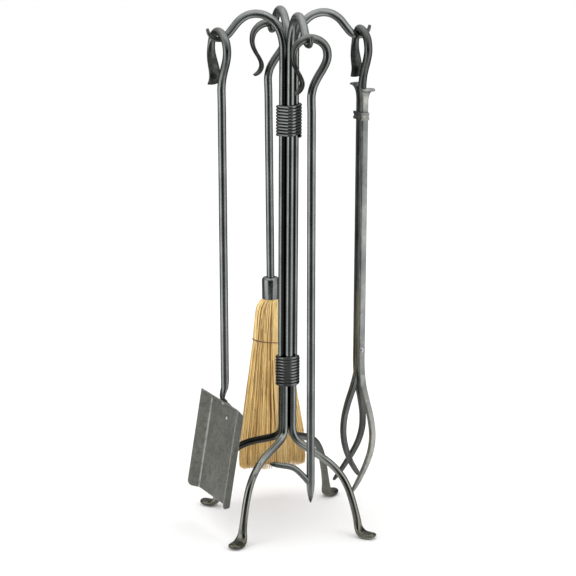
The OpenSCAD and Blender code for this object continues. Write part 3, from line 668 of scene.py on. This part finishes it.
# ---------------------------------------------------------------- tongs
arm_t, arm_w, core_t, core_w, arm_off = 3.0, 5.7, 5.0, 5.3, 8.3
core = [[3.6, 67, 1.2, 1.5, 2], [2.2, 69, 2.7, 2.9, 2.2], [-0.9, 73.5, 3.6, 3.8, 2.8], [-6, 81.5, 3.9, 4.1, 3.2], [-12.5, 93.5, 4, 4.3, 3.4],
        [-20.8, 115, 4.1, 4.6, 3.6], [-25.2, 140, 4.2, 4.7, 3.6], [-24, 165, 4.3, 4.8, 3.6], [-18, 190, 4.4, 5, 3.6], [-10, 213, 4.6, 5.1, 3.8],
        [-3.4, 236, 4.9, 5.2, 4], [-0.4, 254, core_t, core_w, 4]]
st = [[4, 3.5 + s[0], low(s[1]), s[2], s[3], s[4]] for s in smooth(core, 6)]
st += [[4, 3.5, low(672), core_t, core_w, 4], [4, 3.5, low(677.5), 5.2, 5.6, 2.8]] + [h for h in handle(0, 0, 7, 0.56, 0.95) if h[2] > -97]
ob = forged("tongs_middle_bar", tool(st), wob=0.10, matrix=TONGS, seed=41.0)
piece(ob, mat_tongs, "tongs", "tongs_iron", "tongs_centre_bar")
arm_low = [[34.6, -26.2, 52, 1.2, 1.5, 2], [34.2, -24.4, 54.2, 2.4, 2.6, 2.2], [33.1, -18.4, 62, 2.9, 3.6, 2.8], [31, -8.6, 76.4, 3.2, 4.2, 3.2],
           [27.6, 3.6, 97, 3.3, 4.7, 3.6], [23.8, 12.2, 117, 3.3, 5, 3.8], [19.4, 16.4, 140, 3.3, 5.1, 4], [14.6, 14.8, 166, 3.2, 5.2, 4],
           [11, 9.4, 192, 3.1, 5.3, 4], [9, 4, 216, arm_t, 5.5, 4], [8.4, 0.9, 240, arm_t, arm_w, 4], [arm_off, 0, 258, arm_t, arm_w, 4]]
arm_top = [[arm_off, 0, 665.5, arm_t, arm_w, 4], [arm_off + 0.2, 0, 673.5, arm_t, arm_w, 4], [arm_off + 1.5, 0, 681.5, 2.8, 6.5, 3.6], [arm_off + 4.6, 0, 688.3, 2.7, 8.3, 3.2],
           [arm_off + 9.4, 0, 691.8, 2.5, 10.2, 3], [arm_off + 14.2, 0, 691.9, 2.2, 10.8, 2.8], [arm_off + 17, 0, 690.4, 1.3, 9.4, 2.4]]
# the front arm gets the lighter copy of the iron (painted light), the back arm the darker copy (painted shade)
for s, label, mat, slot in ((1, "front", mat_tongs_light, "tongs_worn"), (-1, "back", mat_tongs, "tongs_iron")):
    pts = list(smooth(arm_low, 6)) + list(smooth(arm_top, 6))
    st = [[4 + s * p[0], 3.5 + p[1], low(p[2] - 2.4 * s * eased((p[2] - 664) / 20)), p[3], p[4], p[5]] for p in pts]
    ob = forged("tongs_" + label + "_bar", tool(st), wob=0.10, matrix=TONGS, seed=45.0 + s, gain=0.45)
    piece(ob, mat, "tongs_jaw", slot, "tongs_" + label + "_arm")

# ---------------------------------------------------------------- shovel pan and the small CAD nodes, smoothed and mostly bevelled; the forged shovel shaft
PAN_TILT, PAN_Y, PAN_Z = 10.0, 8.8, 194.0 - HANG_Z


def smooth_by_angle(ob, degrees=25.0):
    """Shades the faceted turned faces smoothly and keeps real edges sharp."""
    ng = bpy.data.node_groups.get("smooth_by_angle")
    if ng is None:
        ng = bpy.data.node_groups.new("smooth_by_angle", "GeometryNodeTree")
        ng.interface.new_socket(name="Geometry", in_out="INPUT", socket_type="NodeSocketGeometry")
        ng.interface.new_socket(name="Geometry", in_out="OUTPUT", socket_type="NodeSocketGeometry")
        gi, go = ng.nodes.new("NodeGroupInput"), ng.nodes.new("NodeGroupOutput")
        drop = ng.nodes.new("GeometryNodeRemoveAttribute")
        drop.inputs["Name"].default_value = "custom_normal"
        faces = ng.nodes.new("GeometryNodeSetShadeSmooth")
        faces.domain = "FACE"
        edges = ng.nodes.new("GeometryNodeSetShadeSmooth")
        edges.domain = "EDGE"
        edges.inputs["Shade Smooth"].default_value = False
        ang = ng.nodes.new("GeometryNodeInputMeshEdgeAngle")
        gt = ng.nodes.new("ShaderNodeMath")
        gt.operation = "GREATER_THAN"
        gt.inputs[1].default_value = math.radians(degrees)
        ng.links.new(gi.outputs[0], drop.inputs["Geometry"])
        ng.links.new(drop.outputs["Geometry"], faces.inputs["Geometry"])
        ng.links.new(faces.outputs["Geometry"], edges.inputs["Geometry"])
        ng.links.new(ang.outputs["Unsigned Angle"], gt.inputs[0])
        ng.links.new(gt.outputs[0], edges.inputs["Selection"])
        ng.links.new(edges.outputs["Geometry"], go.inputs[0])
    md = ob.modifiers.new("smooth_by_angle", "NODES")
    md.node_group = ng


def soften(name, mat, width, segments=3, angle=28):
    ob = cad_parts[name]
    dress(ob, mat)
    w = ob.modifiers.new("weld", "WELD")
    w.merge_threshold = 1e-6
    b = ob.modifiers.new("bevel", "BEVEL")
    b.width = width
    b.segments = segments
    b.limit_method = "ANGLE"
    b.angle_limit = math.radians(angle)
    b.harden_normals = False
    smooth_by_angle(ob)
    return ob


to_pan = SHOVEL @ Matrix.Translation((0, PAN_Y, PAN_Z)) @ Matrix.Rotation(math.radians(-PAN_TILT), 4, "X") @ Matrix.Rotation(math.pi, 4, "Z")
to_pan.translation *= MM
to_pan = to_pan.inverted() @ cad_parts["shovel_pan"].matrix_world
mat_sheet = sheet_iron("pan_sheet", [list(r) for r in to_pan])
soften("shovel_pan", mat_sheet, 0.0004, 2)
soften("shovel_rivets", mat_rivet, 0.0002, 2)
soften("brush_ferrule", mat_ferrule, 0.0003, 2)
soften("tongs_collar", mat_tongs_light, 0.0004, 2)
soften("tongs_pivot_rivet", mat_rivet, 0.0002, 2)
dress(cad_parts["brush_binding_wire"], mat_wire)
smooth_by_angle(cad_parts["brush_binding_wire"])

PAN_RISE, PAN_FLARE, SHEET, TONGUE = 17.0, 12.0, 1.6, 2.0
RIM_A = math.atan2(PAN_RISE, PAN_FLARE)
TILT = math.radians(PAN_TILT)
BEHIND = SHEET / 2 + TONGUE + 0.15


def behind_rim(d):
    return (d * math.sin(RIM_A) - BEHIND * math.cos(RIM_A), d * math.cos(RIM_A) + BEHIND * math.sin(RIM_A))


def tongue(p, a, b):
    return [3, PAN_Y - p[0] * math.cos(TILT) + p[1] * math.sin(TILT), PAN_Z + p[0] * math.sin(TILT) + p[1] * math.cos(TILT), a, b, 3]


rim_top = tongue(behind_rim(17.5), 7.6, TONGUE)
st = [tongue((-BEHIND, -28), 4.5, 1.4), tongue((-BEHIND, -26), 7, TONGUE), tongue((-BEHIND, -20), 8, TONGUE), tongue((-BEHIND, -8), 8, TONGUE),
      tongue((-BEHIND, 0.4), 8, TONGUE), tongue(behind_rim(2), 8, TONGUE), tongue(behind_rim(9), 8, TONGUE), rim_top,
      [3.1, rim_top[1] - 0.6, rim_top[2] + 4.5, 7.3, 2.6, 2.6], [3.4, rim_top[1] + 0.6, rim_top[2] + 11, 6.9, 3.9, 2.3], [3.8, 2.0, rim_top[2] + 19, 6.5, 5.5, 2],
      [4, 2.5, rim_top[2] + 29, ROD, ROD, 2]]
ob = forged("shovel_bar", tool(st + handle(0, -1, 0, 0.9)), wob=0.12, matrix=SHOVEL, seed=51.0)
piece(ob, mat_shovel, "shovel", "shovel_iron", "shovel_shaft")

# ---------------------------------------------------------------- straw
rng = random.Random(7)
NECK = 14.0 - 1.35
FAN = [[-10, 0, NECK - 0.2, NECK - 0.2, 2], [-35.4, 0, NECK - 0.2, NECK - 0.2, 2],
       [-37, -0.1, 14.6, 13.3, 2.05], [-40, -0.3, 17.6, 14.2, 2.1], [-44, -0.4, 20.6, 14.8, 2.2], [-49, -0.5, 22.9, 15.2, 2.2], [-55, -0.7, 24.4, 15.4, 2.2], [-62, -0.8, 25.4, 15.6, 2.3], [-75, -1, 26.4, 15.5, 2.4], [-95, -1.4, 28.4, 15, 2.4],
       [-106, -1.5, 29.2, 14.4, 2.4], [-132, -1.5, 33, 15, 2.4], [-168, -1, 38.6, 16.5, 2.5], [-202, -0.8, 44, 18, 2.5], [-244, -0.5, 50.3, 19.5, 2.5],
       [-270, -0.5, 54, 20.5, 2.5], [-300, -0.8, 56, 21, 2.5], [-319.5, -0.8, 55, 20.5, 2.5]]
FAN = np.array(FAN, float)
zs = -FAN[:, 0]


def fan_at(z):
    """[centre x, half width, half depth, squareness] at depth z below the ferrule's top."""
    return [float(np.interp(z, zs, FAN[:, c])) for c in (1, 2, 3, 4)]


def fan_point(ang, rho, z):
    cx, a, b, e = fan_at(z)
    c, s = math.cos(ang), math.sin(ang)
    return (cx + rho * a * math.copysign(abs(c) ** (2 / e), c), rho * b * math.copysign(abs(s) ** (2 / e), s), -z)


axis_m = BRUSH @ Matrix.Translation((brush_x, 3.5, ferrule_top))
V, F, T = [], [], []
# inner body of straw that the loose straws lie on, painted dark (tone 0.12) as the shade between the straws
core_rings = []
NC = 48
for z in [12, 25, 34, 36, 38, 40, 43, 47, 52, 58] + list(np.linspace(66, 309, 30)):
    for k in range(NC):
        w = 0.90 + 0.04 * noise.noise(Vector((k * 0.9, z * 0.02, 3.0)))
        V.append(fan_point(2 * math.pi * k / NC, w, z))
        T.append(0.12)
F += [tuple(reversed(f)) for f in tube_faces(40, NC)]
F.append(tuple(range(NC)))
F.append(tuple(range(39 * NC + NC - 1, 39 * NC - 1, -1)))
core_faces = len(F)
for i in range(2300):
    ang = rng.uniform(0, 2 * math.pi)
    layer = rng.random()
    rho = 0.99 - 0.10 * layer ** 1.5
    rho_end = rho + rng.uniform(-0.05, 0.015)
    r = rng.uniform(0.4, 0.95)
    z_end = 320 - abs(rng.gauss(0, 3.6)) - 5 * (0.5 + 0.5 * noise.noise(Vector((math.cos(ang) * 2.2, math.sin(ang) * 2.2, 5.0))))
    if rng.random() < 0.08:
        z_end -= rng.uniform(5, 40)
    z0 = 20.0
    ladder = [z0, 30, 35, 37, 39, 41.5, 45, 49, 54, 61, 70, 82, 95, 106, 118, 135, 158, 190, 225, 260]
    ladder = [z for z in ladder if z < z_end - 12]
    ladder += [z_end - 11, z_end - 4, z_end]
    m = len(ladder)
    ph, am = rng.uniform(0, 6.28), rng.uniform(0.1, 1.5)
    drift = rng.gauss(0, 0.035)
    # straws deeper in the fan get a darker tone: painted shade
    tone = min(1, max(0, 0.72 + 0.28 * rng.gauss(0, 1) - 0.22 * layer))
    if rng.random() < 0.13:
        tone = rng.uniform(0.0, 0.22)
    t_ph, t_am = rng.uniform(0, 100), rng.uniform(0.0, 0.45)
    base = len(V)
    pts = []
    for j in range(m):
        z = ladder[j]
        t = (z - z0) / (z_end - z0)
        rr = rho + (rho_end - rho) * t
        stitch = math.exp(-((z - 106 - 4.6 * math.cos(ang)) / 9.0) ** 2)
        rr = rr * (1 - 0.025 * stitch)
        aa = ang + drift * t * t + am * 0.012 * math.sin(ph + 9 * t)
        x, y, zz = fan_point(aa, rr, z)
        x += am * 0.5 * math.sin(ph * 2 + 14 * t) * t
        pts.append(Vector((x, y, zz)))
    n = 4
    for j in range(m):
        t = (ladder[j] - z0) / (z_end - z0)
        w = r * (1.0 if t < 0.75 else 1.0 - 0.75 * (t - 0.75) / 0.25)
        p = pts[j]
        tan = (pts[min(j + 1, m - 1)] - pts[max(j - 1, 0)]).normalized()
        out = Vector((p.x * 0.35, p.y, 0)).normalized()
        su = tan.cross(out).normalized()
        ov = su.cross(tan).normalized()
        for k in range(n):
            q = 2 * math.pi * (k + 0.5) / n
            V.append(tuple(p + su * (w * math.cos(q)) + ov * (w * 0.6 * math.sin(q))))
            T.append(min(1.0, max(0.0, tone + t_am * noise.noise(Vector((t_ph, 10.0 * t, 0.0))) * 2.0 * (0.4 + 1.1 * t) - 0.10 * math.sin(math.pi * min(1.0, t * 1.15)))))
    F += tube_faces(m, n, base)
    F.append(tuple(base + k for k in reversed(range(n))))
    F.append(tuple(base + (m - 1) * n + k for k in range(n)))
A = np.array(V, float) * MM
M = np.array(axis_m, float).copy()
M[:3, 3] *= MM
A = A @ M[:3, :3].T + M[:3, 3]
straw = new_mesh("straw_fan", A, F)
att = straw.data.attributes.new("tone", "FLOAT", "POINT")
att.data.foreach_set("value", np.array(T, np.float32))
piece(straw, mat_straw, "brush", "straw", "brush_bristles")

# sewing twine: two strands twisted round each other, drawn round the fan
st2 = []
loops = []
for strand in (0, 1):
    S = []
    for i in range(240):
        q = 2 * math.pi * i / 240
        x, y, z = fan_point(q, 1.0, 106 + 4.6 * math.cos(q))
        # leave the straw a little proud, and bunch up where the ends are tied
        o = Vector((math.cos(q), math.sin(q), 0))
        tw = 40 * q + math.pi * strand
        tied = math.exp(-((q - 3.75) / 0.05) ** 2)
        S.append([x + o.x * (0.5 * math.cos(tw) + 0.9 * tied), y + o.y * (0.5 * math.cos(tw) + 0.9 * tied), z + (0.5 + 0.9 * tied) * math.sin(tw), 0, 0, 1, 0.55, 0.55, 2])
    loops.append(S)
for k, S in enumerate(loops):
    S = np.array(S)
    m, n = len(S), 8
    p = S[:, :3]
    t = np.roll(p, -1, 0) - np.roll(p, 1, 0)
    t /= np.linalg.norm(t, axis=1)[:, None]
    u = np.array([0, 0, 1.0]) - t * t[:, 2:3]
    u /= np.linalg.norm(u, axis=1)[:, None]
    v = np.cross(t, u)
    q = 2 * np.pi * np.arange(n) / n
    R = p[:, None, :] + 0.55 * (np.cos(q)[None, :, None] * v[:, None, :] + np.sin(q)[None, :, None] * u[:, None, :])
    VV = (R.reshape(-1, 3) * MM) @ M[:3, :3].T + M[:3, 3]
    FF = tube_faces(m, n) + [((m - 1) * n + i, (m - 1) * n + (i + 1) % n, (i + 1) % n, i) for i in range(n)]
    ob = new_mesh("sewing_twine_%d" % (k + 1), VV, FF)
    if k == 0:
        piece(ob, mat_twine, "brush", "twine", "brush_stitching")
    else:
        piece(ob, mat_twine, "brush", "twine")

# ---------------------------------------------------------------- floor and light
fm = bpy.data.materials.new("floor_white")
fm.use_nodes = True
fm.node_tree.nodes["Principled BSDF"].inputs["Base Color"].default_value = (0.93, 0.93, 0.93, 1)
fm.node_tree.nodes["Principled BSDF"].inputs["Roughness"].default_value = 0.9
fm.node_tree.nodes["Principled BSDF"].inputs["Specular IOR Level"].default_value = 0.1
floor = new_mesh("floor", [(-40, -40, -0.0005), (40, -40, -0.0005), (40, 40, -0.0005), (-40, 40, -0.0005)], [(0, 1, 2, 3)], False)
dress(floor, fm)

world = bpy.data.worlds.new("studio")
bpy.context.scene.world = world
world.use_nodes = True
world.node_tree.nodes["Background"].inputs["Color"].default_value = (1, 1, 1, 1)
world.node_tree.nodes["Background"].inputs["Strength"].default_value = 1.07
bpy.context.scene.view_settings.view_transform = "Standard"
bpy.context.scene.view_settings.look = "None"


def softbox(name, az, dist, z, aim_z, w, h, power, gloss=False):
    """A rectangular lamp at that bearing from the camera's own bearing, aimed at the axis of the stand."""
    a = CAM_AZ + math.radians(az)
    L = bpy.data.lights.new(name, "AREA")
    L.shape = "RECTANGLE"
    L.size, L.size_y = w, h
    L.energy = power
    ob = bpy.data.objects.new(name, L)
    bpy.context.scene.collection.objects.link(ob)
    pos = Vector((dist * math.sin(a), -dist * math.cos(a), z))
    ob.location = pos
    ob.rotation_euler = (Vector((0, 0, aim_z)) - pos).to_track_quat("-Z", "Y").to_euler()
    ob.visible_glossy = gloss
    return ob


softbox("left_box", -60, 2.6, 1.6, 0.4, 1.4, 2.4, 13)
softbox("right_box", 60, 2.6, 1.6, 0.4, 1.4, 2.4, 9)
softbox("top_box", 180, 0.4, 3.0, 0.0, 2.6, 2.6, 12)

# The studio that the gloss of the bars shows: a ring of bright and dark panels.
# It lights nothing and hides nothing, so the floor stays plain and pale.
PANELS = [(-180, 0.30), (-165, 0.20), (-150, 0.07), (-105, 0.08), (-88, 0.9), (-80, 1.25), (-52, 1.25), (-44, 0.8), (-34, 0.05), (0, 0.015),
          (30, 0.05), (40, 0.7), (50, 1.15), (82, 1.05), (92, 0.7), (108, 0.08), (150, 0.07), (165, 0.20), (180, 0.30)]


def panels(name, bands):
    """The pattern of PANELS drawn round the axis through each [radius, height, gain, fill]."""
    verts, faces, glow = [], [], []
    n, m = 144, len(bands)
    for k in range(n):
        az = -180 + 360 * k / n
        a = CAM_AZ + math.radians(az)
        g = float(np.interp(az, [p[0] for p in PANELS], [p[1] for p in PANELS]))
        for r, z, gain, fill in bands:
            verts.append((r * math.sin(a), -r * math.cos(a), z))
            # the left side is darker high up
            shade = 1.0 - 0.55 * math.exp(-((az + 62.0) / 34.0) ** 2) * min(1.0, max(0.0, (z - 0.78) / 0.30))
            glow.append((g * gain + fill) * shade)
    for k in range(n):
        for j in range(m - 1):
            i, o = m * k + j, m * ((k + 1) % n) + j
            faces.append((i, o, o + 1, i + 1))
    ob = new_mesh(name, verts, faces, False)
    at_ = ob.data.attributes.new("glow", "FLOAT", "POINT")
    at_.data.foreach_set("value", np.array(glow, np.float32))
    m = bpy.data.materials.new(name)
    m.use_nodes = True
    nt = m.node_tree
    nt.nodes.clear()
    out = nt.nodes.new("ShaderNodeOutputMaterial")
    em = nt.nodes.new("ShaderNodeEmission")
    at_n = nt.nodes.new("ShaderNodeAttribute")
    at_n.attribute_name = "glow"
    nt.links.new(at_n.outputs["Fac"], em.inputs["Strength"])
    nt.links.new(em.outputs[0], out.inputs["Surface"])
    dress(ob, m)
    m.cycles.emission_sampling = "NONE"
    ob.visible_camera = False
    ob.visible_diffuse = False
    ob.visible_shadow = False
    ob.visible_transmission = False
    return ob


panels("panel_ring", [(1.3, 0.001, 0.85, 0.07), (1.3, 0.25, 1.0, 0.0), (1.3, 0.78, 1.0, 0.0), (1.3, 1.1, 0.6, 0.40), (1.3, 2.4, 0.4, 0.85)])
panels("panel_floor", [(0.0, 0.001, 0.3, 0.42), (0.2, 0.001, 0.4, 0.38), (0.45, 0.001, 0.6, 0.22), (0.8, 0.001, 0.8, 0.11), (1.3, 0.001, 0.85, 0.07)])
